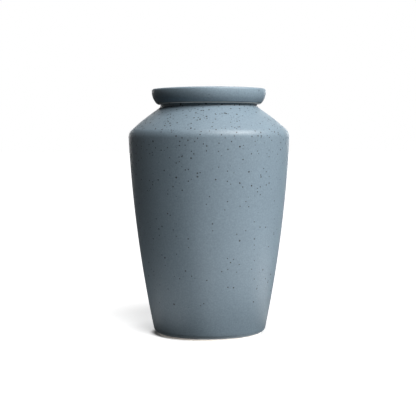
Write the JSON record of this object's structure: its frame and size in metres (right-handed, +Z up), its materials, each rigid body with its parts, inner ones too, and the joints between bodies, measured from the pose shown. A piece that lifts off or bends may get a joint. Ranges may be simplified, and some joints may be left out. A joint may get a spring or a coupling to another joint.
{
  "type": "funeral urn",
  "caption": "Tapered ceramic funeral urn with a sloping shoulder, a narrow neck and a flat round cap lid that lifts off, for keeping cremated ashes.",
  "frame": {"origin": "centre of the foot, on the surface that the urn stands on", "axes": "+Z up along the axis that both pieces are turned about; X and Y are alike, and the picture is taken along +Y"},
  "size_m": [0.169, 0.169, 0.26],
  "materials": {
    "speckled_glaze": "matt blue-grey glaze with fine dark specks, over pale stoneware that is left bare at the foot, the lip and the lid's lower edge"
  },
  "bodies": {
    "root": {"urn_body": "speckled_glaze", "lid": "speckled_glaze"}
  },
  "joints": []
}
